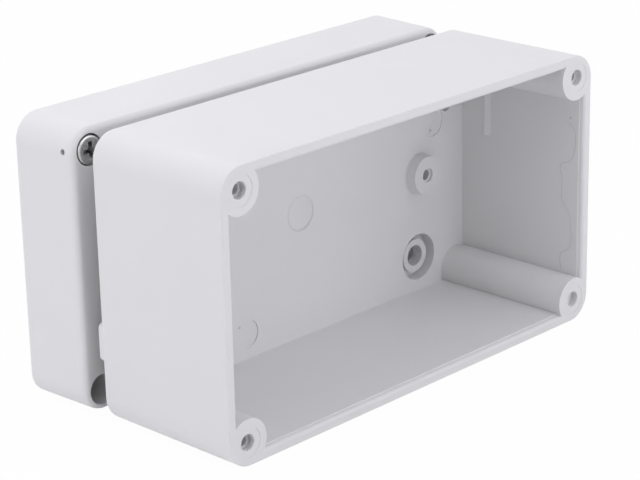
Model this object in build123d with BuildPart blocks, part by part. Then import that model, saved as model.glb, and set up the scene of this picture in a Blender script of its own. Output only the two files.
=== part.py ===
# A moulded plastic project box with its lid taken off.
# The base stands on a long side with its opening towards -Y. The lid stands close behind it,
# facing the same way as when it is fitted, with its four screws in their wells.
# X runs along the box, Z is up, and the origin is on the surface under the middle of the base.
import os

from build123d import *

# Outline that the two halves share
LENGTH = 116.0
HEIGHT = 63.5
BASE_DEPTH = 37.9
LID_DEPTH = 17.4

# Base walls, floor and rim
BASE_WALL = 2.6
BASE_CORNER = 5.8
FLOOR_THICKNESS = 2.0
BACK_EDGE_RADIUS = 1.05
RIM_EDGE_RADIUS = 0.25
RIM_INNER_RADIUS = 0.8
RIM_LAND = 2.3
REBATE_DEPTH = 1.2

# Corner columns that take the lid screws
SCREW_INSET = 5.14
COLUMN_RADIUS = 5.2
COLUMN_SEAT_RADIUS = 3.4
COLUMN_SEAT_DEPTH = 0.12
COLUMN_MOUTH_RADIUS = 1.8
COLUMN_MOUTH_DEPTH = 1.65
COLUMN_MOUTH_CHAMFER = 0.15
COLUMN_PILOT_RADIUS = 1.2
COLUMN_PILOT_DEPTH = 20.0

# Standoffs for a circuit board, on the long centre line of the floor
STANDOFF_SPAN = 79.4
STANDOFF_RADIUS = 4.55
STANDOFF_BASE_RADIUS = 4.85
STANDOFF_FOOT_RADIUS = 0.4
STANDOFF_HEIGHT = 2.8
STANDOFF_MOUTH_RADIUS = 1.74
STANDOFF_MOUTH_DEPTH = 0.7
STANDOFF_PILOT_RADIUS = 1.25
STANDOFF_SKIN = 0.9

# Wall-fixing posts, each standing in a round pocket of the floor, with a foot behind it
POST_SPAN_X = 78.8
POST_SPAN_Z = 41.6
POST_RADIUS = 4.06
POST_HOLE_RADIUS = 2.54
POST_DROP = 1.2
POCKET_RADIUS = 5.65
POCKET_DEPTH = 3.2
FOOT_RADIUS = 7.2
FOOT_HEIGHT = 2.0
FOOT_EDGE_RADIUS = 0.4

# Two pads on the back, at opposite corners, each cored out from the inside
PAD_LENGTH = 10.5
PAD_WIDTH = 8.6
PAD_CORNER = 1.2
PAD_END_INSET = 1.0
PAD_OFFSET_Z = 14.2
CORE_RADIUS = 1.6
CORE_SMALL_RADIUS = 1.0
CORE_SPACING = 3.8
CORE_END_INSET = 8.6
CORE_OFFSET_Z = 14.5
CORE_DEPTH = 1.2

# Catch ribs on the end walls, which slope towards the rim
RIB_FROM_RIM = 28.7
RIB_SLOPE = 1.55
RIB_PROUD = 0.5
RIB_LOW_OFFSET = 7.2

# What the mould left on the floor: a dished gate mark in the middle, and four ejector marks
GATE_RADIUS = 4.1
GATE_DEPTH = 0.9
EJECTOR_RADIUS = 3.45
EJECTOR_DEPTH = 0.3
EJECTOR_INNER = (17.8, 23.35)
EJECTOR_OUTER = (44.8, 11.25)

# Lid walls, face and lip
LID_WALL = 3.3
LID_CORNER = 5.7
LID_FACE_THICKNESS = 2.6
LID_DRAFT = 1.26
LID_EDGE_RADIUS = 1.3
LIP_CLEARANCE = 0.1
LIP_TIP_CLEARANCE = 0.15

# Screw wells in the lid
WELL_RADIUS = 3.45
WELL_DEPTH = 10.7
NECK_RADIUS = 1.95
NECK_LENGTH = 1.5
TAIL_RADIUS = 2.3
SEAL_HOLE_RADIUS = 0.65
SEAL_HOLE_DEPTH = 2.85

# Lid screws
HEAD_RADIUS = 3.15
HEAD_HEIGHT = 2.4
HEAD_FLAT_RADIUS = 2.6
HEAD_RIM_HEIGHT = 1.85
THREAD_RADIUS = 1.75
SCREW_LENGTH = 12.0
TIP_LENGTH = 1.2
TIP_RADIUS = 0.95
HEAD_SEAT_GAP = 0.05
SCREW_TRAVEL = 7.9
SCREW_SAG = 0.1
RECESS_SPAN = 3.9
RECESS_WIDTH = 0.95
RECESS_DEPTH = 1.4
RECESS_DRAFT = 8.0

# Where the lid stands: its face lies behind the back of the base, a little to the left
LID_GAP = 5.05
LID_SHIFT = -1.1

# Levels worked out from the sizes above
FLOOR_AT = BASE_DEPTH - FLOOR_THICKNESS
LID_FACE_Y = BASE_DEPTH / 2 + LID_GAP
SCREW_SPAN_X = LENGTH - 2 * SCREW_INSET
SCREW_SPAN_Z = HEIGHT - 2 * SCREW_INSET


def base_plane(depth):
    """Plane facing the opening of the base, so far behind the rim, centred on the outline."""
    return Plane(origin=(0, depth - BASE_DEPTH / 2, HEIGHT / 2), x_dir=(1, 0, 0), z_dir=(0, -1, 0))


def lid_plane(depth):
    """Plane parallel to the face of the lid, so far behind the face, centred on the outline."""
    return Plane(origin=(LID_SHIFT, LID_FACE_Y + depth, HEIGHT / 2), x_dir=(1, 0, 0), z_dir=(0, -1, 0))


# Base: one deep moulding
with BuildPart() as base:
    # Outer block with rounded corners, a rounded back edge and a softened rim
    with BuildSketch(base_plane(BASE_DEPTH)):
        RectangleRounded(LENGTH, HEIGHT, BASE_CORNER)
    extrude(amount=BASE_DEPTH)
    fillet(base.faces().sort_by(Axis.Y)[-1].edges(), radius=BACK_EDGE_RADIUS)
    fillet(base.faces().sort_by(Axis.Y)[0].edges(), radius=RIM_EDGE_RADIUS)

    # Round feet behind the wall-fixing posts
    with BuildSketch(base_plane(BASE_DEPTH + FOOT_HEIGHT)):
        with GridLocations(POST_SPAN_X, POST_SPAN_Z, 2, 2):
            Circle(FOOT_RADIUS)
    extrude(amount=FOOT_HEIGHT + FLOOR_THICKNESS / 2)

    # Pads at two opposite corners of the back
    pad_x = LENGTH / 2 - PAD_END_INSET - PAD_LENGTH / 2
    with BuildSketch(base_plane(BASE_DEPTH + FOOT_HEIGHT)):
        with Locations((-pad_x, -PAD_OFFSET_Z), (pad_x, PAD_OFFSET_Z)):
            RectangleRounded(PAD_LENGTH, PAD_WIDTH, PAD_CORNER)
    extrude(amount=FOOT_HEIGHT + FLOOR_THICKNESS / 2)
    fillet(base.edges().group_by(Axis.Y)[-1], radius=FOOT_EDGE_RADIUS)

    # Cavity, then the rebate that runs round the inside of the rim
    with BuildSketch(base_plane(FLOOR_AT)):
        RectangleRounded(LENGTH - 2 * BASE_WALL, HEIGHT - 2 * BASE_WALL, BASE_CORNER - BASE_WALL)
    extrude(amount=FLOOR_AT, mode=Mode.SUBTRACT)
    with BuildSketch(base_plane(REBATE_DEPTH)):
        RectangleRounded(LENGTH - 2 * RIM_LAND, HEIGHT - 2 * RIM_LAND, BASE_CORNER - RIM_LAND)
    extrude(amount=REBATE_DEPTH, mode=Mode.SUBTRACT)
    rim_face = base.faces().sort_by(Axis.Y)[0]
    fillet(rim_face.inner_wires()[0].edges(), radius=RIM_INNER_RADIUS)

    # Screw columns from the floor to the rim, kept inside the walls
    with BuildSketch(base_plane(FLOOR_AT + FLOOR_THICKNESS / 2)):
        with GridLocations(SCREW_SPAN_X, SCREW_SPAN_Z, 2, 2):
            Circle(COLUMN_RADIUS)
        RectangleRounded(
            LENGTH - RIM_LAND, HEIGHT - RIM_LAND, BASE_CORNER - RIM_LAND / 2, mode=Mode.INTERSECT
        )
    extrude(amount=FLOOR_AT + FLOOR_THICKNESS / 2)
    with Locations(base_plane(0)):
        with GridLocations(SCREW_SPAN_X, SCREW_SPAN_Z, 2, 2):
            Hole(COLUMN_SEAT_RADIUS, depth=COLUMN_SEAT_DEPTH)
            CounterBoreHole(
                COLUMN_PILOT_RADIUS,
                COLUMN_MOUTH_RADIUS,
                COLUMN_SEAT_DEPTH + COLUMN_MOUTH_DEPTH,
                depth=COLUMN_PILOT_DEPTH,
            )
    with BuildSketch(base_plane(COLUMN_SEAT_DEPTH)):
        with GridLocations(SCREW_SPAN_X, SCREW_SPAN_Z, 2, 2):
            Circle(COLUMN_MOUTH_RADIUS + COLUMN_MOUTH_CHAMFER)
    extrude(amount=-COLUMN_MOUTH_CHAMFER, taper=45, mode=Mode.SUBTRACT)

    # Pockets round the wall-fixing posts, the posts, and the holes through them
    with BuildSketch(base_plane(FLOOR_AT + POCKET_DEPTH)):
        with GridLocations(POST_SPAN_X, POST_SPAN_Z, 2, 2):
            Circle(POCKET_RADIUS)
            Circle(POST_RADIUS, mode=Mode.SUBTRACT)
    extrude(amount=POCKET_DEPTH, mode=Mode.SUBTRACT)
    with BuildSketch(base_plane(FLOOR_AT + POST_DROP)):
        with GridLocations(POST_SPAN_X, POST_SPAN_Z, 2, 2):
            Circle(POCKET_RADIUS)
    extrude(amount=POST_DROP, mode=Mode.SUBTRACT)
    with BuildSketch(base_plane(BASE_DEPTH + FOOT_HEIGHT)):
        with GridLocations(POST_SPAN_X, POST_SPAN_Z, 2, 2):
            Circle(POST_HOLE_RADIUS)
    extrude(amount=FOOT_HEIGHT + FLOOR_THICKNESS, mode=Mode.SUBTRACT)

    # Round cores in the floor over each pad
    core_x = LENGTH / 2 - CORE_END_INSET
    with BuildSketch(base_plane(FLOOR_AT + CORE_DEPTH)):
        with Locations((-core_x, -CORE_OFFSET_Z), (core_x, CORE_OFFSET_Z)):
            Circle(CORE_RADIUS)
        with Locations((CORE_SPACING - core_x, -CORE_OFFSET_Z), (core_x - CORE_SPACING, CORE_OFFSET_Z)):
            Circle(CORE_SMALL_RADIUS)
    extrude(amount=CORE_DEPTH, mode=Mode.SUBTRACT)

    # Standoffs that narrow upwards, with stepped blind holes
    with Locations(base_plane(FLOOR_AT)):
        with GridLocations(STANDOFF_SPAN, 0, 2, 1):
            Cone(
                STANDOFF_BASE_RADIUS,
                STANDOFF_RADIUS,
                STANDOFF_HEIGHT,
                align=(Align.CENTER, Align.CENTER, Align.MIN),
            )
    standoff_feet = base.edges().filter_by(GeomType.CIRCLE).filter_by(
        lambda edge: abs(edge.radius - STANDOFF_BASE_RADIUS) < 0.001
    )
    fillet(standoff_feet, radius=STANDOFF_FOOT_RADIUS)
    with Locations(base_plane(FLOOR_AT - STANDOFF_HEIGHT)):
        with GridLocations(STANDOFF_SPAN, 0, 2, 1):
            CounterBoreHole(
                STANDOFF_PILOT_RADIUS,
                STANDOFF_MOUTH_RADIUS,
                STANDOFF_MOUTH_DEPTH,
                depth=STANDOFF_HEIGHT + FLOOR_THICKNESS - STANDOFF_SKIN,
            )

    # Dished gate mark, turned about the middle of the floor
    gate_centre = (0, FLOOR_AT - BASE_DEPTH / 2, HEIGHT / 2)
    with BuildSketch(Plane(origin=gate_centre, x_dir=(1, 0, 0), z_dir=(0, 0, 1))):
        with BuildLine():
            TangentArc((0, GATE_DEPTH), (GATE_RADIUS, 0), tangent=(1, 0))
            Polyline((GATE_RADIUS, 0), (0, 0), (0, GATE_DEPTH))
        make_face()
    revolve(axis=Axis(gate_centre, (0, 1, 0)), mode=Mode.SUBTRACT)

    # Ejector marks, in two pairs about the middle of the floor
    with BuildSketch(base_plane(FLOOR_AT + EJECTOR_DEPTH)):
        for turn in (-1, 1):
            with Locations(
                (turn * EJECTOR_INNER[0], turn * EJECTOR_INNER[1]),
                (turn * EJECTOR_OUTER[0], turn * EJECTOR_OUTER[1]),
            ):
                Circle(EJECTOR_RADIUS)
    extrude(amount=EJECTOR_DEPTH, mode=Mode.SUBTRACT)

    # Upright catch ribs on the two end walls, from above the middle up to the columns
    wall_x = LENGTH / 2 - BASE_WALL
    catch_y = RIB_FROM_RIM - BASE_DEPTH / 2
    with BuildSketch(Plane.XY.offset(HEIGHT / 2 + RIB_LOW_OFFSET)):
        for side in (-1, 1):
            with BuildLine():
                Polyline(
                    (side * wall_x, catch_y - RIB_SLOPE),
                    (side * (wall_x - RIB_PROUD), catch_y),
                    (side * (wall_x + BASE_WALL / 2), catch_y),
                    (side * (wall_x + BASE_WALL / 2), catch_y - RIB_SLOPE),
                    close=True,
                )
            make_face()
    extrude(amount=SCREW_SPAN_Z / 2 - RIB_LOW_OFFSET)

base.part.label = "base"

# Lid: one shallow moulding
with BuildPart() as lid:
    # Outer block that narrows towards the face, with broad rounded edges there
    with BuildSketch(lid_plane(LID_DEPTH)):
        RectangleRounded(LENGTH, HEIGHT, LID_CORNER)
    extrude(amount=LID_DEPTH, taper=LID_DRAFT)
    fillet(lid.faces().sort_by(Axis.Y)[0].edges(), radius=LID_EDGE_RADIUS)

    # Cavity with the same taper
    with BuildSketch(lid_plane(LID_DEPTH)):
        RectangleRounded(LENGTH - 2 * LID_WALL, HEIGHT - 2 * LID_WALL, LID_CORNER - LID_WALL)
    extrude(amount=LID_DEPTH - LID_FACE_THICKNESS, taper=LID_DRAFT, mode=Mode.SUBTRACT)

    # Lip that enters the rebate of the base, with the corners left free for the columns
    lip_inset = RIM_LAND + LIP_CLEARANCE
    lip_height = REBATE_DEPTH - LIP_TIP_CLEARANCE
    with BuildSketch(lid_plane(LID_DEPTH + lip_height)):
        RectangleRounded(LENGTH - 2 * lip_inset, HEIGHT - 2 * lip_inset, BASE_CORNER - lip_inset)
        RectangleRounded(
            LENGTH - 2 * LID_WALL, HEIGHT - 2 * LID_WALL, LID_CORNER - LID_WALL, mode=Mode.SUBTRACT
        )
        with GridLocations(SCREW_SPAN_X, SCREW_SPAN_Z, 2, 2):
            Circle(COLUMN_RADIUS + LIP_CLEARANCE, mode=Mode.SUBTRACT)
    extrude(amount=lip_height + LIP_CLEARANCE)

    # Screw towers from the face to the joint
    with BuildSketch(lid_plane(LID_DEPTH)):
        with GridLocations(SCREW_SPAN_X, SCREW_SPAN_Z, 2, 2):
            Circle(COLUMN_RADIUS)
        RectangleRounded(
            LENGTH - RIM_LAND, HEIGHT - RIM_LAND, LID_CORNER - RIM_LAND / 2, mode=Mode.INTERSECT
        )
    extrude(amount=LID_DEPTH - LID_FACE_THICKNESS / 2)

    # Wells for the heads, necks that the heads seat on, and wider tails towards the joint
    with BuildSketch(lid_plane(WELL_DEPTH)):
        with GridLocations(SCREW_SPAN_X, SCREW_SPAN_Z, 2, 2):
            Circle(WELL_RADIUS)
    extrude(amount=WELL_DEPTH, mode=Mode.SUBTRACT)
    with BuildSketch(lid_plane(WELL_DEPTH + NECK_LENGTH)):
        with GridLocations(SCREW_SPAN_X, SCREW_SPAN_Z, 2, 2):
            Circle(NECK_RADIUS)
    extrude(amount=NECK_LENGTH, mode=Mode.SUBTRACT)
    with BuildSketch(lid_plane(LID_DEPTH)):
        with GridLocations(SCREW_SPAN_X, SCREW_SPAN_Z, 2, 2):
            Circle(TAIL_RADIUS)
    extrude(amount=LID_DEPTH - WELL_DEPTH - NECK_LENGTH, mode=Mode.SUBTRACT)

    # Seal-wire holes from two opposite end walls into their wells
    for side in (-1, 1):
        seal_start = (LID_SHIFT + side * LENGTH / 2, LID_FACE_Y + SEAL_HOLE_DEPTH)
        seal_z = HEIGHT / 2 - side * SCREW_SPAN_Z / 2
        with BuildSketch(Plane(origin=(*seal_start, seal_z), z_dir=(-side, 0, 0))):
            Circle(SEAL_HOLE_RADIUS)
        extrude(amount=SCREW_INSET, mode=Mode.SUBTRACT)

lid.part.label = "lid"

# Lid screws: where each stands, as side, level and how far it has been driven out. Each lies low
# in its neck by its sag.
SCREWS = {
    "screw_upper_left": (-1, 1, SCREW_TRAVEL),
    "screw_upper_right": (1, 1, 0),
    "screw_lower_left": (-1, -1, 0),
    "screw_lower_right": (1, -1, 0),
}
screws = []
for name, (side, level, driven_out) in SCREWS.items():
    axis_x = LID_SHIFT + side * SCREW_SPAN_X / 2
    axis_z = HEIGHT / 2 + level * SCREW_SPAN_Z / 2 - SCREW_SAG
    underside = LID_FACE_Y + WELL_DEPTH - HEAD_SEAT_GAP - driven_out
    profile_plane = Plane(origin=(axis_x, underside, axis_z), x_dir=(1, 0, 0), z_dir=(0, 0, 1))
    with BuildPart() as screw:
        # Turned profile: rounded head, shank as wide as its thread, and blunt tip
        with BuildSketch(profile_plane):
            with BuildLine():
                Line((0, -HEAD_HEIGHT), (HEAD_FLAT_RADIUS, -HEAD_HEIGHT))
                EllipticalCenterArc(
                    (HEAD_FLAT_RADIUS, -HEAD_RIM_HEIGHT),
                    HEAD_RADIUS - HEAD_FLAT_RADIUS,
                    HEAD_HEIGHT - HEAD_RIM_HEIGHT,
                    start_angle=270,
                    arc_size=90,
                )
                Polyline(
                    (HEAD_RADIUS, -HEAD_RIM_HEIGHT),
                    (HEAD_RADIUS, 0),
                    (THREAD_RADIUS, 0),
                    (THREAD_RADIUS, SCREW_LENGTH - TIP_LENGTH),
                    (TIP_RADIUS, SCREW_LENGTH),
                    (0, SCREW_LENGTH),
                    (0, -HEAD_HEIGHT),
                )
            make_face()
        revolve(axis=Axis((axis_x, underside, axis_z), (0, 1, 0)))
        # Cross recess for the driver
        head_plane = Plane(
            origin=(axis_x, underside - HEAD_HEIGHT, axis_z), x_dir=(1, 0, 0), z_dir=(0, -1, 0)
        )
        with BuildSketch(head_plane):
            Rectangle(RECESS_SPAN, RECESS_WIDTH)
            Rectangle(RECESS_WIDTH, RECESS_SPAN)
        extrude(amount=-RECESS_DEPTH, taper=RECESS_DRAFT, mode=Mode.SUBTRACT)
    screw.part.label = name
    screws.append(screw.part)

# One file for each piece
os.makedirs("parts", exist_ok=True)
export_step(base.part, "parts/base.step")
export_step(lid.part, "parts/lid.step")
for piece in screws:
    export_step(piece, f"parts/{piece.label}.step")
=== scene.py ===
import math

import bmesh
import bpy
from mathutils import Matrix, Vector


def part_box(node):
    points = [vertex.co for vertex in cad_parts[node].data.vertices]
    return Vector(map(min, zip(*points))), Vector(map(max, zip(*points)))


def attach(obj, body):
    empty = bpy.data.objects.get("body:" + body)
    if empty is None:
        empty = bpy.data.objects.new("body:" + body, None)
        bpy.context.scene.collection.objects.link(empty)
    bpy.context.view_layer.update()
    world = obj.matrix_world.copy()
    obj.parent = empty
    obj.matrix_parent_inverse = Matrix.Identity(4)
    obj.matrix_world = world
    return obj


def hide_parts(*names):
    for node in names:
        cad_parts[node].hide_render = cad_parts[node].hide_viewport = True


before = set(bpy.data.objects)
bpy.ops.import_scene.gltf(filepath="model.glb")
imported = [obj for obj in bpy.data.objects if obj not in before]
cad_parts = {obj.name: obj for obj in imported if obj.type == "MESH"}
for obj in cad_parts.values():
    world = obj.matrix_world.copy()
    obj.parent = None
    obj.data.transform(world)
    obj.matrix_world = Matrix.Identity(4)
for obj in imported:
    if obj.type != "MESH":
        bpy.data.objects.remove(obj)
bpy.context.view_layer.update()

# Base: the deep half of the box, one injection moulding in light grey ABS. The outside has a
# fine spark-eroded grain, and the cavity was formed by a polished core.
MM = 0.001
PLASTIC_COLOUR = (0.78, 0.779, 0.783)
FLOW_COLOUR = (0.755, 0.755, 0.757)
PLASTIC_IOR = 1.52
GRAIN_DEPTH = 0.02 * MM
# Centre and half size of the polished cavity, in millimetres
BASE_CAVITY = ((0, -1.0, 31.75), (55.5, 17.9, 29.3))


def add_node(tree, kind, values=(), **options):
    """Add one node with its options; each input gets a value, or a link when the value is a socket."""
    made = tree.nodes.new(kind)
    for name, value in options.items():
        setattr(made, name, value)
    for key, value in dict(values).items():
        if isinstance(value, bpy.types.NodeSocket):
            tree.links.new(value, made.inputs[key])
        else:
            made.inputs[key].default_value = value
    return made


def calc(tree, operation, *values):
    """One arithmetic step on numbers or sockets."""
    return add_node(tree, "ShaderNodeMath", dict(enumerate(values)), operation=operation).outputs[0]


def vector_calc(tree, operation, *values):
    """One arithmetic step on vectors."""
    return add_node(tree, "ShaderNodeVectorMath", dict(enumerate(values)), operation=operation).outputs[0]


def new_group(name, kind, inputs, outputs):
    """A node group with named inputs and outputs: the tree, what it is given and what it puts out."""
    tree = bpy.data.node_groups.new(name, kind)
    for label, socket, value in inputs:
        made = tree.interface.new_socket(label, in_out="INPUT", socket_type="NodeSocket" + socket)
        if value is not None:
            made.default_value = value
    for label, socket in outputs:
        tree.interface.new_socket(label, in_out="OUTPUT", socket_type="NodeSocket" + socket)
    return tree, tree.nodes.new("NodeGroupInput").outputs, tree.nodes.new("NodeGroupOutput").inputs


# Inside: 1 within a box given by its centre and half size, 0 outside it
inside_group, given, result = new_group(
    "inside of a tray",
    "ShaderNodeTree",
    [("Place", "Vector", None), ("Centre", "Vector", None), ("Half Size", "Vector", None)],
    [("Inside", "Float")],
)
offset = vector_calc(inside_group, "SUBTRACT", given["Place"], given["Centre"])
spread = vector_calc(inside_group, "ABSOLUTE", offset)
beyond = vector_calc(inside_group, "SUBTRACT", spread, given["Half Size"])
beyond = add_node(inside_group, "ShaderNodeSeparateXYZ", {0: beyond}).outputs
most = calc(inside_group, "MAXIMUM", calc(inside_group, "MAXIMUM", beyond[0], beyond[1]), beyond[2])
inside_group.links.new(calc(inside_group, "LESS_THAN", most, 0.0), result["Inside"])

# Moulded surface: faint flow of the pigment, uneven sheen, and the grain of the mould
moulded_group, given, result = new_group(
    "moulded surface",
    "ShaderNodeTree",
    [
        ("Place", "Vector", None),
        ("Polished", "Float", 0.0),
        ("Colour", "Color", (0.7, 0.7, 0.7, 1)),
        ("Flow Colour", "Color", (0.68, 0.68, 0.68, 1)),
        ("Flow Size", "Float", 40.0),
        ("Grain Size", "Float", 2600.0),
        ("Polished Grain", "Float", 0.25),
        ("Grained Roughness", "Float", 0.5),
        ("Polished Roughness", "Float", 0.4),
        ("Sheen Size", "Float", 90.0),
        ("Sheen Step", "Float", 0.04),
    ],
    [("Color", "Color"), ("Roughness", "Float"), ("Height", "Float")],
)
flow = add_node(
    moulded_group,
    "ShaderNodeTexNoise",
    {"Vector": given["Place"], "Scale": given["Flow Size"], "Detail": 3.0, "Distortion": 1.2},
).outputs[0]
tint = add_node(
    moulded_group,
    "ShaderNodeMix",
    {0: flow, 6: given["Colour"], 7: given["Flow Colour"]},
    data_type="RGBA",
).outputs[2]
grain = add_node(
    moulded_group,
    "ShaderNodeTexNoise",
    {"Vector": given["Place"], "Scale": given["Grain Size"], "Detail": 4.0, "Roughness": 0.6},
).outputs[0]
kept_grain = add_node(
    moulded_group,
    "ShaderNodeMapRange",
    {"Value": given["Polished"], "To Min": 1.0, "To Max": given["Polished Grain"]},
).outputs[0]
finish = add_node(
    moulded_group,
    "ShaderNodeMix",
    {0: given["Polished"], 2: given["Grained Roughness"], 3: given["Polished Roughness"]},
    data_type="FLOAT",
).outputs[0]
sheen_patch = add_node(
    moulded_group,
    "ShaderNodeTexNoise",
    {"Vector": given["Place"], "Scale": given["Sheen Size"], "Detail": 2.0},
).outputs[0]
sheen = add_node(
    moulded_group,
    "ShaderNodeMapRange",
    {
        "Value": sheen_patch,
        "From Min": 0.3,
        "From Max": 0.7,
        "To Min": calc(moulded_group, "MULTIPLY", given["Sheen Step"], -1.0),
        "To Max": given["Sheen Step"],
    },
).outputs[0]
moulded_group.links.new(tint, result["Color"])
moulded_group.links.new(calc(moulded_group, "ADD", finish, sheen), result["Roughness"])
moulded_group.links.new(calc(moulded_group, "MULTIPLY", grain, kept_grain), result["Height"])


def moulded_plastic(name, colour, flow_colour, cavity):
    """Grained ABS whose surface is polished inside the cavity."""
    material = bpy.data.materials.new(name)
    material.use_nodes = True
    tree = material.node_tree
    shader = tree.nodes["Principled BSDF"]
    place = add_node(tree, "ShaderNodeTexCoord").outputs["Object"]
    centre, half_size = cavity
    polished = add_node(
        tree,
        "ShaderNodeGroup",
        {"Place": place, "Centre": Vector(centre) * MM, "Half Size": Vector(half_size) * MM},
        node_tree=inside_group,
    ).outputs["Inside"]
    surface = add_node(
        tree,
        "ShaderNodeGroup",
        {"Place": place, "Polished": polished, "Colour": (*colour, 1), "Flow Colour": (*flow_colour, 1)},
        node_tree=moulded_group,
    ).outputs
    bump = add_node(tree, "ShaderNodeBump", {"Height": surface["Height"], "Distance": GRAIN_DEPTH})
    tree.links.new(surface["Color"], shader.inputs["Base Color"])
    tree.links.new(surface["Roughness"], shader.inputs["Roughness"])
    tree.links.new(bump.outputs[0], shader.inputs["Normal"])
    shader.inputs["IOR"].default_value = PLASTIC_IOR
    return material


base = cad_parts["base"]
base_plastic = moulded_plastic("base plastic", PLASTIC_COLOUR, FLOW_COLOUR, BASE_CAVITY)
base.data.materials[0] = base_plastic

# Marks on the base, most of them left by the mould: a raised line where two parts of
# the core met, a ring round the dish where the plastic was let in, small pin marks, thread marks in
# the mouths of the two left screw holes, and a film of flash across the lower right one. The line,
# the ring and the marks are in plastics darker than the base's, which is painted shade; the film is
# in the base's own plastic.
WALL = 2.6 * MM
FLOOR_DEPTH = 35.9 * MM
SCREW_INSET = 5.14 * MM
base_low, base_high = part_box("base")
rim_y = base_low[1]
end_wall_x = base_high[0] - WALL
floor_y = rim_y + FLOOR_DEPTH
# A darker grey for the core line, the pin marks and the thread marks: painted shade, which darkens these
# raised marks and the mouths of the left holes
painted_shade_plastic = moulded_plastic("painted shade mark plastic", (0.6, 0.6, 0.605), (0.58, 0.58, 0.585), BASE_CAVITY)
# A slightly darker grey for the ring round the dish: painted shade along the dish's edge
gate_shade_plastic = moulded_plastic("gate painted shade plastic", (0.71, 0.71, 0.715), (0.69, 0.69, 0.695), BASE_CAVITY)


def new_route(name, kind, lines, closed=False):
    """A curve through each line of places: smooth as BEZIER, straight from place to place as POLY."""
    curve = bpy.data.curves.new(name, "CURVE")
    curve.dimensions = "3D"
    for line in lines:
        spline = curve.splines.new(kind)
        spline.use_cyclic_u = closed
        if kind == "BEZIER":
            spline.bezier_points.add(len(line) - 1)
            for point, place in zip(spline.bezier_points, line):
                point.co = place
                point.handle_left_type = point.handle_right_type = "AUTO"
        else:
            spline.points.add(len(line) - 1)
            for point, place in zip(spline.points, line):
                point.co = (*place, 1)
    return curve


def circle_place(middle, radius, turns):
    """A place on a circle that faces the opening, counted in turns from +X towards +Z."""
    bearing = 2 * math.pi * turns
    return Vector(middle) + radius * Vector((math.cos(bearing), 0, math.sin(bearing)))


# The core line's way down the right end wall: millimetres behind the rim and above the long side
CORE_LINE = [
    (3.9, 46.7),
    (2.3, 44.9),
    (2.1, 42.5),
    (2.6, 38.9),
    (3.9, 37.2),
    (5.7, 36.7),
    (6.4, 35.3),
    (5.8, 33.4),
    (5.75, 31.4),
    (5.75, 29.4),
    (5.7, 27.8),
    (4.5, 26.1),
    (3.3, 24.1),
    (3.2, 22.0),
    (2.8, 19.0),
    (3.6, 16.2),
    (5.0, 15.2),
    (5.8, 14.4),
    (5.8, 10.6),
]
core_places = [(end_wall_x, rim_y + behind * MM, above * MM) for behind, above in CORE_LINE]
core_route = new_route("core line route", "BEZIER", [core_places])

# The ring round the dish in the middle of the floor: a wide line, mostly sunk in the surface, in a darker
# plastic that is painted shade along the dish's edge
RING_RADIUS = 4.1 * MM
RING_HEIGHT = 32.0 * MM
RING_LINE_RADIUS = 0.4 * MM
RING_SUNK = 0.34 * MM
RING_POINTS = 16
ring_middle = (0, floor_y + RING_SUNK, RING_HEIGHT)
ring_places = [circle_place(ring_middle, RING_RADIUS, step / RING_POINTS) for step in range(RING_POINTS)]
ring_route = new_route("gate painted shade ring route", "BEZIER", [ring_places], closed=True)

# The thread marks: a low ridge that climbs round the wall of each left hole's mouth, in the darker plastic,
# which paints shade into the mouths
MOUTH_RADIUS = 1.8 * MM
THREAD_START, THREAD_END = 0.45 * MM, 1.65 * MM
THREAD_PITCH = 0.5 * MM
THREAD_LINE_RADIUS = 0.13 * MM
THREAD_STEPS = 24
thread_turns = (THREAD_END - THREAD_START) / THREAD_PITCH
thread_lines = [
    [
        circle_place(
            (base_low[0] + SCREW_INSET, rim_y + THREAD_START + THREAD_PITCH * step / THREAD_STEPS, height),
            MOUTH_RADIUS,
            step / THREAD_STEPS,
        )
        for step in range(round(thread_turns * THREAD_STEPS) + 1)
    ]
    for height in (SCREW_INSET, base_high[2] - SCREW_INSET)
]
thread_route = new_route("thread marks route", "POLY", thread_lines)

line_tree, given, result = new_group(
    "raised line",
    "GeometryNodeTree",
    [
        ("Route", "Geometry", None),
        ("Line Radius", "Float", 0.09 * MM),
        ("Step", "Float", 0.25 * MM),
        ("Material", "Material", None),
    ],
    [("Geometry", "Geometry")],
)
steps = add_node(
    line_tree, "GeometryNodeResampleCurve", {"Curve": given["Route"], "Length": given["Step"]}, mode="LENGTH"
).outputs[0]
bead_section = add_node(
    line_tree, "GeometryNodeCurvePrimitiveCircle", {"Resolution": 8, "Radius": given["Line Radius"]}
).outputs[0]
bead = add_node(
    line_tree, "GeometryNodeCurveToMesh", {"Curve": steps, "Profile Curve": bead_section, "Fill Caps": True}
).outputs[0]
bead = add_node(line_tree, "GeometryNodeRealizeInstances", {"Geometry": bead}).outputs[0]
bead = add_node(
    line_tree, "GeometryNodeSetMaterial", {"Geometry": bead, "Material": given["Material"]}
).outputs[0]
line_tree.links.new(bead, result["Geometry"])

# The pin marks: low domes on the wall and the floor, each facing away from what carries it; their darker
# plastic is painted shade
PIN_MARKS = [
    ((end_wall_x, rim_y + 3.6 * MM, 47.75 * MM), (-1, 0, 0)),
    ((43.9 * MM, floor_y, 41.1 * MM), (0, -1, 0)),
    ((-20.0 * MM, floor_y, 10.7 * MM), (0, -1, 0)),
]
pin_places = bpy.data.meshes.new("pin places")
pin_places.from_pydata([place for place, _ in PIN_MARKS], [], [])
way_out = pin_places.attributes.new("facing", "FLOAT_VECTOR", "POINT")
for entry, (_, direction) in zip(way_out.data, PIN_MARKS):
    entry.vector = direction

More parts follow.
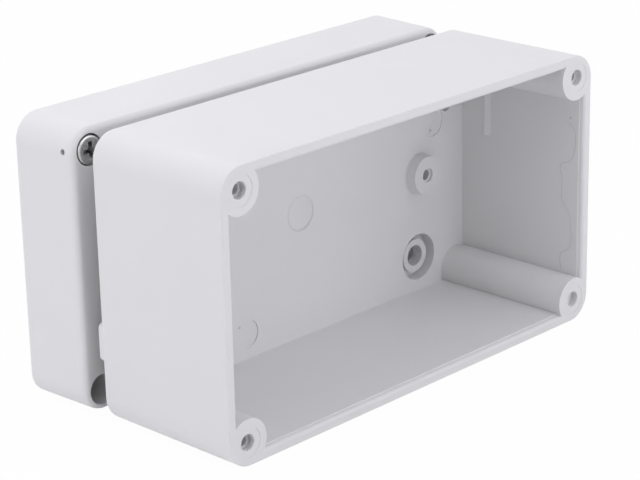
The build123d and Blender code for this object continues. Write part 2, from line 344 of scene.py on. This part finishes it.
pin_tree, given, result = new_group(
    "pin marks",
    "GeometryNodeTree",
    [
        ("Places", "Geometry", None),
        ("Mark Radius", "Float", 0.31 * MM),
        ("Mark Height", "Float", 0.09 * MM),
        ("Material", "Material", None),
    ],
    [("Geometry", "Geometry")],
)
facing = add_node(
    pin_tree, "GeometryNodeInputNamedAttribute", {"Name": "facing"}, data_type="FLOAT_VECTOR"
).outputs[0]
turned = add_node(pin_tree, "FunctionNodeAlignRotationToVector", {"Vector": facing}, axis="Z").outputs[0]
dome = add_node(
    pin_tree, "GeometryNodeMeshUVSphere", {"Segments": 20, "Rings": 12, "Radius": 1.0}
).outputs[0]
dome_size = add_node(
    pin_tree,
    "ShaderNodeCombineXYZ",
    {"X": given["Mark Radius"], "Y": given["Mark Radius"], "Z": given["Mark Height"]},
).outputs[0]
domes = add_node(
    pin_tree,
    "GeometryNodeInstanceOnPoints",
    {"Points": given["Places"], "Instance": dome, "Rotation": turned, "Scale": dome_size},
).outputs[0]
domes = add_node(pin_tree, "GeometryNodeRealizeInstances", {"Geometry": domes}).outputs[0]
domes = add_node(
    pin_tree, "GeometryNodeSetShadeSmooth", {"Geometry": domes, "Shade Smooth": True}
).outputs[0]
domes = add_node(
    pin_tree, "GeometryNodeSetMaterial", {"Geometry": domes, "Material": given["Material"]}
).outputs[0]
pin_tree.links.new(domes, result["Geometry"])


def mesh_from_tree(name, start, tree, values):
    """The plain mesh that a tree makes from a curve or mesh, with the named inputs set."""
    sketch = bpy.data.objects.new(name + " sketch", start)
    bpy.context.scene.collection.objects.link(sketch)
    maker = sketch.modifiers.new(tree.name, "NODES")
    maker.node_group = tree
    sockets = {item.name: item.identifier for item in tree.interface.items_tree}
    for label, value in values.items():
        maker[sockets[label]] = value
    mesh = bpy.data.meshes.new_from_object(sketch.evaluated_get(bpy.context.evaluated_depsgraph_get()))
    sketch.modifiers.remove(maker)
    bpy.data.objects.remove(sketch)
    return mesh


for name, start, mark_tree, values in (
    ("base_core_line", core_route, line_tree, {"Material": painted_shade_plastic}),
    ("base_gate_painted_shade_ring", ring_route, line_tree, {"Material": gate_shade_plastic, "Line Radius": RING_LINE_RADIUS}),
    (
        "base_thread_marks",
        thread_route,
        line_tree,
        {"Material": painted_shade_plastic, "Line Radius": THREAD_LINE_RADIUS},
    ),
    ("base_pin_marks", pin_places, pin_tree, {"Material": painted_shade_plastic}),
):
    marks = bpy.data.objects.new(name, mesh_from_tree(name, start, mark_tree, values))
    bpy.context.scene.collection.objects.link(marks)
    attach(marks, "base")

# The film on the ledge of the lower right screw hole: a thin sheet that sags in the middle
FILM_RADIUS = 1.62 * MM
FILM_DEPTH = 1.72 * MM
FILM_SAG = 0.18 * MM
FILM_THICKNESS = 0.05 * MM
FILM_RINGS = 8
FILM_AROUND = 48
film_centre = Vector((base_high[0] - SCREW_INSET, rim_y + FILM_DEPTH, SCREW_INSET))
film_mesh = bmesh.new()
for side in (0, 1):
    shift = Vector((0, -side * FILM_THICKNESS, 0))
    middle = film_mesh.verts.new(film_centre + Vector((0, FILM_SAG, 0)) + shift)
    rings = []
    for ring in range(1, FILM_RINGS + 1):
        reach = ring / FILM_RINGS
        ring_middle = film_centre + Vector((0, FILM_SAG * (1 - reach**2), 0)) + shift
        rings.append(
            [
                film_mesh.verts.new(circle_place(ring_middle, FILM_RADIUS * reach, step / FILM_AROUND))
                for step in range(FILM_AROUND)
            ]
        )
    for step in range(FILM_AROUND):
        after = (step + 1) % FILM_AROUND
        film_mesh.faces.new((middle, rings[0][step], rings[0][after]))
        for inner, outer in zip(rings, rings[1:]):
            film_mesh.faces.new((inner[step], outer[step], outer[after], inner[after]))
        if side == 0:
            back_edge = rings[-1]
        else:
            film_mesh.faces.new((back_edge[step], back_edge[after], rings[-1][after], rings[-1][step]))
bmesh.ops.recalc_face_normals(film_mesh, faces=film_mesh.faces)
film_sheet = bpy.data.meshes.new("base hole film")
film_mesh.to_mesh(film_sheet)
film_mesh.free()
film_sheet.shade_smooth()
film_sheet.materials.append(base_plastic)
film = bpy.data.objects.new("base_hole_film", film_sheet)
bpy.context.scene.collection.objects.link(film)
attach(film, "base")

# Lid: the shallow half, moulded in the same ABS from its own tool. Its face is grained as the
# base is, and the inside is polished.
LID_CAVITY = ((-1.1, 40.0, 31.75), (55.0, 13.4, 28.7))
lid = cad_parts["lid"]
lid.data.materials[0] = moulded_plastic("lid plastic", PLASTIC_COLOUR, FLOW_COLOUR, LID_CAVITY)

# Lid screws: zinc-plated steel, with a rounded head, a cross recess with fine rays between its
# arms, and a coarse rolled thread for plastic. Each stands in its well in the lid, at its own turn.
screw_tree, given, result = new_group(
    "lid screw",
    "GeometryNodeTree",
    [
        ("Underside", "Vector", None),
        ("Turn", "Float", 0.0),
        ("Head Radius", "Float", 3.15 * MM),
        ("Head Height", "Float", 3.1 * MM),
        ("Head Rounding", "Float", 0.6 * MM),
        ("Head Underside Rounding", "Float", 0.12 * MM),
        ("Shank Rounding", "Float", 0.1 * MM),
        ("Length", "Float", 12.0 * MM),
        ("Tip Length", "Float", 1.2 * MM),
        ("Tip Radius", "Float", 0.95 * MM),
        ("Tip Shoulder Rounding", "Float", 0.4 * MM),
        ("Tip Rounding", "Float", 0.25 * MM),
        ("Thread Radius", "Float", 1.75 * MM),
        ("Core Radius", "Float", 1.2 * MM),
        ("Pitch", "Float", 1.45 * MM),
        ("Recess Span", "Float", 3.9 * MM),
        ("Recess Width", "Float", 1.0 * MM),
        ("Recess Depth", "Float", 2.1 * MM),
        ("Ray Reach", "Float", 2.3 * MM),
        ("Ray Width", "Float", 0.3 * MM),
        ("Ray Depth", "Float", 0.15 * MM),
        ("Material", "Material", None),
    ],
    [("Geometry", "Geometry")],
)

# Turned profile from the middle of the head to the tip: radius, level and rounding of each corner
tip_start = calc(screw_tree, "SUBTRACT", given["Tip Length"], given["Length"])
tip_end = calc(screw_tree, "MULTIPLY", given["Length"], -1.0)
corners = [
    (0.0, given["Head Height"], 0.0),
    (given["Head Radius"], given["Head Height"], given["Head Rounding"]),
    (given["Head Radius"], 0.0, given["Head Underside Rounding"]),
    (given["Thread Radius"], 0.0, given["Shank Rounding"]),
    (given["Thread Radius"], tip_start, given["Tip Shoulder Rounding"]),
    (given["Tip Radius"], tip_end, given["Tip Rounding"]),
    (0.0, tip_end, 0.0),
]
corner_places = add_node(screw_tree, "GeometryNodeIndexSwitch", data_type="VECTOR")
corner_roundings = add_node(screw_tree, "GeometryNodeIndexSwitch", data_type="FLOAT")
corner_number = add_node(screw_tree, "GeometryNodeInputIndex").outputs[0]
for switch in (corner_places, corner_roundings):
    while len(switch.index_switch_items) < len(corners):
        switch.index_switch_items.new()
    screw_tree.links.new(corner_number, switch.inputs[0])
for number, (radius, level, rounding) in enumerate(corners, start=1):
    place = add_node(screw_tree, "ShaderNodeCombineXYZ", {"X": radius, "Z": level}).outputs[0]
    screw_tree.links.new(place, corner_places.inputs[number])
    if isinstance(rounding, bpy.types.NodeSocket):
        screw_tree.links.new(rounding, corner_roundings.inputs[number])
    else:
        corner_roundings.inputs[number].default_value = rounding
line = add_node(screw_tree, "GeometryNodeMeshLine", {"Count": len(corners)}).outputs[0]
line = add_node(
    screw_tree, "GeometryNodeSetPosition", {"Geometry": line, "Position": corner_places.outputs[0]}
).outputs[0]
line = add_node(screw_tree, "GeometryNodeMeshToCurve", {"Mesh": line}).outputs[0]
profile = add_node(
    screw_tree,
    "GeometryNodeFilletCurve",
    {"Curve": line, "Count": 10, "Radius": corner_roundings.outputs[0], "Limit Radius": True},
    mode="POLY",
).outputs[0]

# The profile turned about the screw's axis: a unit sheet, one way round and the other way along
AROUND = 72
ALONG = 210
sheet = add_node(
    screw_tree,
    "GeometryNodeMeshGrid",
    {"Size X": 1.0, "Size Y": 1.0, "Vertices X": AROUND + 1, "Vertices Y": ALONG},
).outputs[0]
flat_place = add_node(screw_tree, "GeometryNodeInputPosition").outputs[0]
flat_place = add_node(screw_tree, "ShaderNodeSeparateXYZ", {0: flat_place}).outputs
angle = calc(screw_tree, "MULTIPLY", flat_place[0], -2 * math.pi)
along = calc(screw_tree, "ADD", flat_place[1], 0.5)
sample = add_node(
    screw_tree, "GeometryNodeSampleCurve", {"Curves": profile, "Factor": along}, mode="FACTOR"
).outputs["Position"]
sample = add_node(screw_tree, "ShaderNodeSeparateXYZ", {0: sample}).outputs
radius, level = sample[0], sample[2]

# Right-hand thread: a ridge that climbs one pitch a turn, and fades at both ends. Its foot and the
# edge of its crest lie a share of the pitch from its middle.
RIDGE_FOOT, RIDGE_CREST = 0.27, 0.03
FADE_IN_START, FADE_IN_END = -0.4 * MM, -1.6 * MM
FADE_OUT_LENGTH = 1.3 * MM
UNDER_HEAD = -0.25 * MM
turns = calc(screw_tree, "DIVIDE", angle, 2 * math.pi)
pitches = calc(screw_tree, "DIVIDE", level, given["Pitch"])
phase = calc(screw_tree, "FRACT", calc(screw_tree, "SUBTRACT", pitches, turns))
off_ridge = calc(screw_tree, "ABSOLUTE", calc(screw_tree, "SUBTRACT", phase, 0.5))
ridge = add_node(
    screw_tree, "ShaderNodeMapRange", {"Value": off_ridge, "From Min": RIDGE_FOOT, "From Max": RIDGE_CREST}
).outputs[0]
fade_in = add_node(
    screw_tree, "ShaderNodeMapRange", {"Value": level, "From Min": FADE_IN_START, "From Max": FADE_IN_END}
).outputs[0]
full_thread = calc(screw_tree, "ADD", tip_end, FADE_OUT_LENGTH)
fade_out = add_node(
    screw_tree, "ShaderNodeMapRange", {"Value": level, "From Min": tip_end, "From Max": full_thread}
).outputs[0]
thread_depth = calc(screw_tree, "SUBTRACT", given["Thread Radius"], given["Core Radius"])
rise = calc(screw_tree, "MULTIPLY", calc(screw_tree, "MULTIPLY", ridge, fade_in), fade_out)
threaded = calc(screw_tree, "MULTIPLY_ADD", thread_depth, rise, given["Core Radius"])
threaded = calc(screw_tree, "MINIMUM", threaded, radius)
below_head = add_node(
    screw_tree, "ShaderNodeMapRange", {"Value": level, "From Min": 0.0, "From Max": UNDER_HEAD}
).outputs[0]
radius = add_node(
    screw_tree, "ShaderNodeMix", {0: below_head, 2: radius, 3: threaded}, data_type="FLOAT"
).outputs[0]
turned = add_node(
    screw_tree,
    "ShaderNodeCombineXYZ",
    {
        "X": calc(screw_tree, "MULTIPLY", radius, calc(screw_tree, "COSINE", angle)),
        "Y": calc(screw_tree, "MULTIPLY", radius, calc(screw_tree, "SINE", angle)),
        "Z": level,
    },
).outputs[0]
body = add_node(
    screw_tree, "GeometryNodeSetPosition", {"Geometry": sheet, "Position": turned}
).outputs[0]
body = add_node(
    screw_tree, "GeometryNodeMergeByDistance", {"Geometry": body, "Distance": 0.0005 * MM}
).outputs[0]


def driver_cutter(span, width, depth, degrees, narrowing):
    """A bar across the head at an angle. Narrowing is the share lost in length and width at its bottom."""
    bar_size = add_node(
        screw_tree,
        "ShaderNodeCombineXYZ",
        {"X": span, "Y": width, "Z": calc(screw_tree, "MULTIPLY", depth, 2.0)},
    ).outputs[0]
    bar = add_node(screw_tree, "GeometryNodeMeshCube", {"Size": bar_size}).outputs[0]
    here = add_node(screw_tree, "GeometryNodeInputPosition").outputs[0]
    level = add_node(screw_tree, "ShaderNodeSeparateXYZ", {0: here}).outputs[2]
    lean = calc(screw_tree, "DIVIDE", level, depth)
    long_way, wide_way = [calc(screw_tree, "MULTIPLY_ADD", lean, share, 1.0) for share in narrowing]
    scale = add_node(
        screw_tree, "ShaderNodeCombineXYZ", {"X": long_way, "Y": wide_way, "Z": 1.0}
    ).outputs[0]
    leaning = vector_calc(screw_tree, "MULTIPLY", here, scale)
    bar = add_node(
        screw_tree, "GeometryNodeSetPosition", {"Geometry": bar, "Position": leaning}
    ).outputs[0]
    lift = add_node(screw_tree, "ShaderNodeCombineXYZ", {"Z": given["Head Height"]}).outputs[0]
    return add_node(
        screw_tree,
        "GeometryNodeTransform",
        {"Geometry": bar, "Translation": lift, "Rotation": (0, 0, math.radians(degrees))},
    ).outputs[0]


# Cross recess: two tapering arms, a square between them, and two pairs of fine rays, cut one after
# the other, so that each run gives the same faces
SQUARE_SHARE = 1.4
ARM_NARROWING = (0.6, 0.25)
SQUARE_NARROWING = (0.5, 0.5)
RAY_NARROWING = (0.0, 0.3)
square = calc(screw_tree, "MULTIPLY", given["Recess Width"], SQUARE_SHARE)
ray_span = calc(screw_tree, "MULTIPLY", given["Ray Reach"], 2.0)
arm = (given["Recess Span"], given["Recess Width"], given["Recess Depth"])
ray = (ray_span, given["Ray Width"], given["Ray Depth"])
for cutter in (
    driver_cutter(*arm, 0, ARM_NARROWING),
    driver_cutter(*arm, 90, ARM_NARROWING),
    driver_cutter(square, square, given["Recess Depth"], 45, SQUARE_NARROWING),
    driver_cutter(*ray, 45, RAY_NARROWING),
    driver_cutter(*ray, 135, RAY_NARROWING),
):
    body = add_node(
        screw_tree,
        "GeometryNodeMeshBoolean",
        {"Mesh 1": body, "Mesh 2": cutter},
        operation="DIFFERENCE",
        solver="MANIFOLD",
    ).outputs[0]

# Smooth where it is turned and sharp at the edges, with the local place kept for the material
SHARP_ANGLE = math.radians(38)
smooth = add_node(
    screw_tree,
    "GeometryNodeSetShadeSmooth",
    {"Geometry": body, "Shade Smooth": True},
    domain="FACE",
).outputs[0]
bend = add_node(screw_tree, "GeometryNodeInputMeshEdgeAngle").outputs[0]
sharp = add_node(
    screw_tree,
    "FunctionNodeCompare",
    {0: bend, 1: SHARP_ANGLE},
    data_type="FLOAT",
    operation="GREATER_THAN",
).outputs[0]
smooth = add_node(
    screw_tree,
    "GeometryNodeSetShadeSmooth",
    {"Geometry": smooth, "Selection": sharp, "Shade Smooth": False},
    domain="EDGE",
).outputs[0]
local_place = add_node(screw_tree, "GeometryNodeInputPosition").outputs[0]
marked = add_node(
    screw_tree,
    "GeometryNodeStoreNamedAttribute",
    {"Geometry": smooth, "Name": "screw_place", "Value": local_place},
    data_type="FLOAT_VECTOR",
    domain="POINT",
).outputs[0]
turn = add_node(screw_tree, "ShaderNodeCombineXYZ", {"Z": given["Turn"]}).outputs[0]
placed = add_node(screw_tree, "GeometryNodeTransform", {"Geometry": marked, "Rotation": turn}).outputs[0]
placed = add_node(
    screw_tree,
    "GeometryNodeTransform",
    {"Geometry": placed, "Translation": given["Underside"], "Rotation": (math.radians(90), 0, 0)},
).outputs[0]
placed = add_node(screw_tree, "GeometryNodeRealizeInstances", {"Geometry": placed}).outputs[0]
placed = add_node(
    screw_tree, "GeometryNodeSetMaterial", {"Geometry": placed, "Material": given["Material"]}
).outputs[0]
screw_tree.links.new(placed, result["Geometry"])

# Bright zinc: turning marks in rings on the head, and a plating that is a little uneven
zinc = bpy.data.materials.new("zinc plating")
zinc.use_nodes = True
tree = zinc.node_tree
shader = tree.nodes["Principled BSDF"]
place = add_node(tree, "ShaderNodeAttribute", attribute_name="screw_place").outputs["Vector"]
axes = add_node(tree, "ShaderNodeSeparateXYZ", {0: place}).outputs
across = add_node(tree, "ShaderNodeCombineXYZ", {"X": axes[0], "Y": axes[1]}).outputs[0]
off_axis = add_node(tree, "ShaderNodeVectorMath", {0: across}, operation="LENGTH").outputs["Value"]
ring_place = add_node(tree, "ShaderNodeCombineXYZ", {"X": off_axis, "Y": axes[2]}).outputs[0]
turning_marks = add_node(
    tree, "ShaderNodeTexNoise", {"Vector": ring_place, "Scale": 9000.0, "Detail": 2.0}
).outputs[0]
patches = add_node(tree, "ShaderNodeTexNoise", {"Vector": place, "Scale": 700.0, "Detail": 3.0}).outputs[0]
plating = add_node(
    tree,
    "ShaderNodeMix",
    {0: patches, 6: (0.45, 0.455, 0.46, 1), 7: (0.53, 0.53, 0.525, 1)},
    data_type="RGBA",
).outputs[2]
polish = add_node(
    tree,
    "ShaderNodeMapRange",
    {"Value": patches, "From Min": 0.3, "From Max": 0.7, "To Min": 0.26, "To Max": 0.4},
).outputs[0]
bump = add_node(
    tree, "ShaderNodeBump", {"Height": turning_marks, "Strength": 0.5, "Distance": 0.01 * MM}
).outputs[0]
tree.links.new(plating, shader.inputs["Base Color"])
tree.links.new(polish, shader.inputs["Roughness"])
tree.links.new(bump, shader.inputs["Normal"])
shader.inputs["Metallic"].default_value = 1.0

# The box of a screw's solid starts at the solid's head, from which its underside is found
SOLID_HEAD_HEIGHT = 2.4 * MM
SCREW_TURNS = {
    "screw_upper_left": 3,
    "screw_upper_right": 52,
    "screw_lower_left": 27,
    "screw_lower_right": 71,
}
for name, degrees in SCREW_TURNS.items():
    low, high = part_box(name)
    underside = ((low[0] + high[0]) / 2, low[1] + SOLID_HEAD_HEIGHT, (low[2] + high[2]) / 2)
    values = {"Underside": underside, "Turn": math.radians(degrees), "Material": zinc}
    blank = bpy.data.meshes.new(name + " blank")
    screw = bpy.data.objects.new(name + "_look", mesh_from_tree(name, blank, screw_tree, values))
    bpy.context.scene.collection.objects.link(screw)
    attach(screw, name)
    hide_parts(name)

# Studio: a pale floor under the box, which shows white to the camera and keeps a soft shadow, and
# even light from all round, strongest from above. Sizes and places are in metres, powers in watts.
FLOOR_SIZE = 4.0
FLOOR_COLOUR = (0.9, 0.9, 0.9)
FLOOR_WHITE_SHARE = 0.97
WHITE = (1, 1, 1)
SKY_LIGHT = 0.155
LIGHT_COLOUR = (0.967, 0.958, 1.0)
LAMP_AIM = (0, 0.01, 0.03)
LAMPS = [
    ("overhead panel", (0, 0, 0.8), 1.6, 6.6),
    ("back panel", (0, 0.8, 0.35), 1.3, 4.42),
    ("upper front light", (0, -0.55, 0.65), 0.5, 0.57),
    ("front light", (0, -0.85, 0.2), 0.5, 1.53),
    ("right front light", (0.6, -0.6, 0.25), 0.5, 1.08),
    ("left light", (-0.85, 0.05, 0.25), 0.5, 1.62),
    ("left back light", (-0.75, 0.4, 0.25), 0.5, 0.57),
]


def seen_directly(tree):
    """1 where a ray from the camera, a reflection or a view through glass arrives."""
    path = add_node(tree, "ShaderNodeLightPath").outputs
    mirrored = calc(tree, "MAXIMUM", path["Is Camera Ray"], path["Is Glossy Ray"])
    return calc(tree, "MAXIMUM", mirrored, path["Is Transmission Ray"])


world = bpy.data.worlds.new("studio")
bpy.context.scene.world = world
world.use_nodes = True
tree = world.node_tree
tree.nodes.clear()
sky = add_node(tree, "ShaderNodeBackground", {"Color": (*LIGHT_COLOUR, 1), "Strength": SKY_LIGHT})
white = add_node(tree, "ShaderNodeBackground", {"Color": (*WHITE, 1), "Strength": 1.0})
backdrop = add_node(
    tree, "ShaderNodeMixShader", {0: seen_directly(tree), 1: sky.outputs[0], 2: white.outputs[0]}
)
add_node(tree, "ShaderNodeOutputWorld", {"Surface": backdrop.outputs[0]})

half = FLOOR_SIZE / 2
floor_mesh = bpy.data.meshes.new("floor")
floor_mesh.from_pydata(
    [(-half, -half, 0), (half, -half, 0), (half, half, 0), (-half, half, 0)], [], [(0, 1, 2, 3)]
)
floor = bpy.data.objects.new("floor", floor_mesh)
bpy.context.scene.collection.objects.link(floor)
floor_material = bpy.data.materials.new("pale floor")
floor_material.use_nodes = True
tree = floor_material.node_tree
tree.nodes.clear()
matt = add_node(tree, "ShaderNodeBsdfDiffuse", {"Color": (*FLOOR_COLOUR, 1)})
bright = add_node(tree, "ShaderNodeEmission", {"Color": (*WHITE, 1), "Strength": 1.0})
share = calc(tree, "MULTIPLY", seen_directly(tree), FLOOR_WHITE_SHARE)
paint = add_node(tree, "ShaderNodeMixShader", {0: share, 1: matt.outputs[0], 2: bright.outputs[0]})
add_node(tree, "ShaderNodeOutputMaterial", {"Surface": paint.outputs[0]})
floor_mesh.materials.append(floor_material)

for name, place, size, power in LAMPS:
    lamp = bpy.data.lights.new(name, "AREA")
    lamp.shape = "SQUARE"
    lamp.size = size
    lamp.energy = power
    lamp.color = LIGHT_COLOUR
    holder = bpy.data.objects.new(name, lamp)
    bpy.context.scene.collection.objects.link(holder)
    holder.location = place
    holder.rotation_euler = (Vector(LAMP_AIM) - Vector(place)).to_track_quat("-Z", "Y").to_euler()

# Camera: where the photograph was taken from, to the left and in front of the box and above it,
# with a long lens. Its place is in metres, and its angles are in degrees.
CAMERA_PLACE = (-0.337328, -0.316642, 0.193824)
CAMERA_HEADING = -45.8174
CAMERA_TILT_DOWN = 19.5179
CAMERA_ROLL = -1.2258
LENS_LENGTH = 126.545
SENSOR_WIDTH = 36
camera_data = bpy.data.cameras.new("camera")
camera_data.lens = LENS_LENGTH
camera_data.sensor_width = SENSOR_WIDTH
camera_data.sensor_fit = "HORIZONTAL"
camera_data.clip_start = 0.01
camera = bpy.data.objects.new("camera", camera_data)
bpy.context.scene.collection.objects.link(camera)
camera.matrix_world = (
    Matrix.Translation(CAMERA_PLACE)
    @ Matrix.Rotation(math.radians(CAMERA_HEADING), 4, "Z")
    @ Matrix.Rotation(math.radians(90 - CAMERA_TILT_DOWN), 4, "X")
    @ Matrix.Rotation(math.radians(CAMERA_ROLL), 4, "Z")
)
bpy.context.scene.camera = camera
bpy.context.scene.view_settings.view_transform = "Standard"
